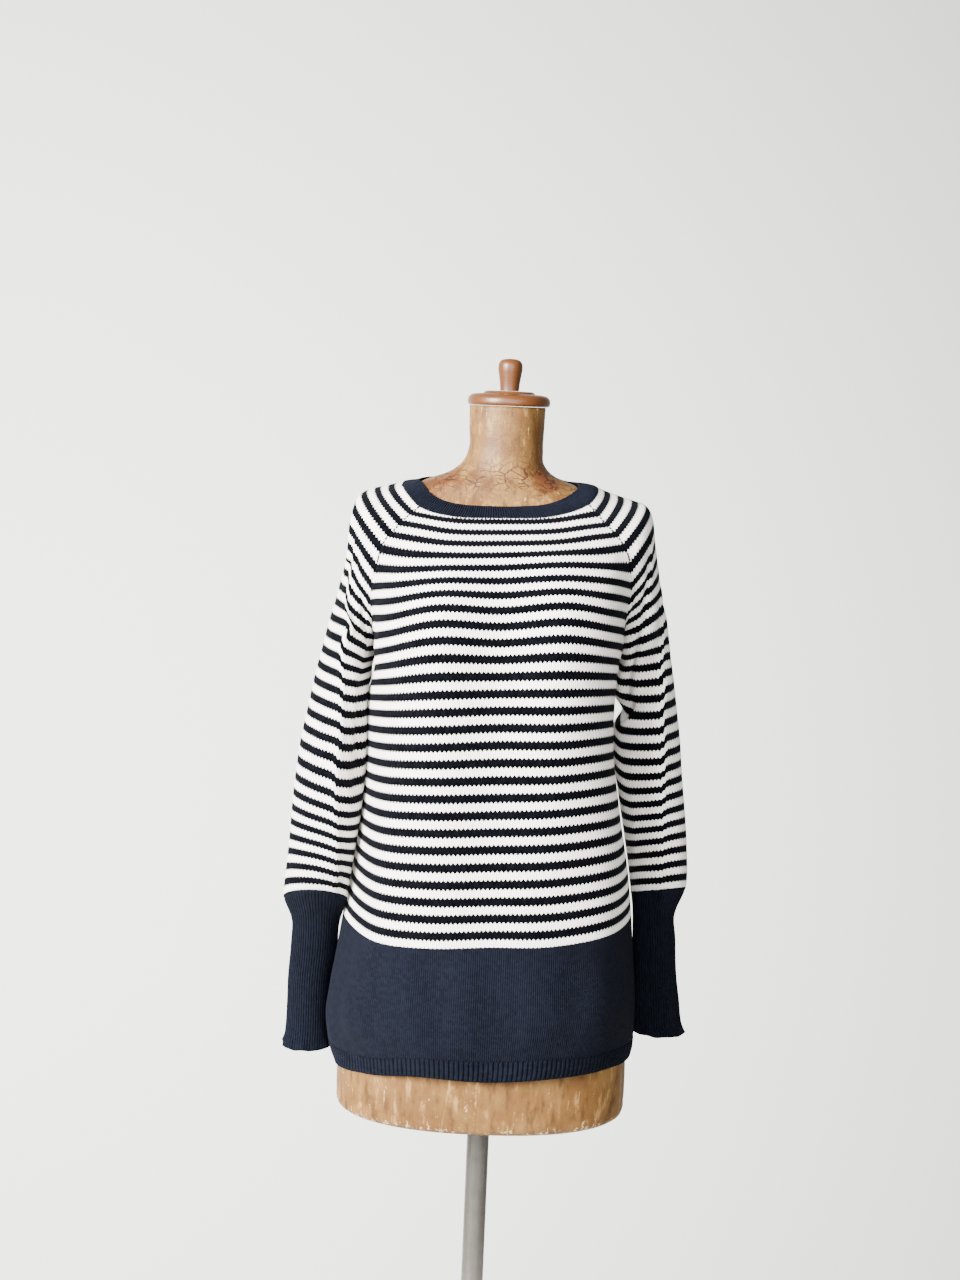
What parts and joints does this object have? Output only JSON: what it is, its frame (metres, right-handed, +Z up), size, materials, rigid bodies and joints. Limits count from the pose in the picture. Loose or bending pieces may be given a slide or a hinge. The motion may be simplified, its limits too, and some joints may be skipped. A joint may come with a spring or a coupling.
{
  "type": "knit top on dress form",
  "caption": "Long striped raglan-sleeved knit top with ribbed neckband, cuffs and hem, worn by a limbless dress form on a pole stand with a round base.",
  "frame": {"origin": "centre of the base's underside on the floor, under the pole's axis", "axes": "+Z up along the pole; -Y is the side that the jumper's front faces; +X is the wearer's left"},
  "size_m": [0.4979, 0.3574, 1.5542],
  "materials": {
    "striped_knit": "cotton jersey knit in off-white and navy stripes",
    "navy_rib": "navy cotton rib",
    "form_paper": "aged varnished paper skin over papier-mache",
    "turned_wood": "varnished red-brown turned wood",
    "steel": "tarnished satin steel"
  },
  "bodies": {
    "root": {"front": "striped_knit", "back": "striped_knit", "sleeve_right": "striped_knit", "sleeve_left": "striped_knit", "neckband": "navy_rib", "hem_rib_front": "navy_rib", "hem_rib_back": "navy_rib", "cuff_right": "navy_rib", "cuff_left": "navy_rib", "dress_form": "form_paper", "neck_cap": "turned_wood", "cap_knob": "turned_wood", "pole": "steel", "stand_base": "steel"}
  },
  "joints": []
}
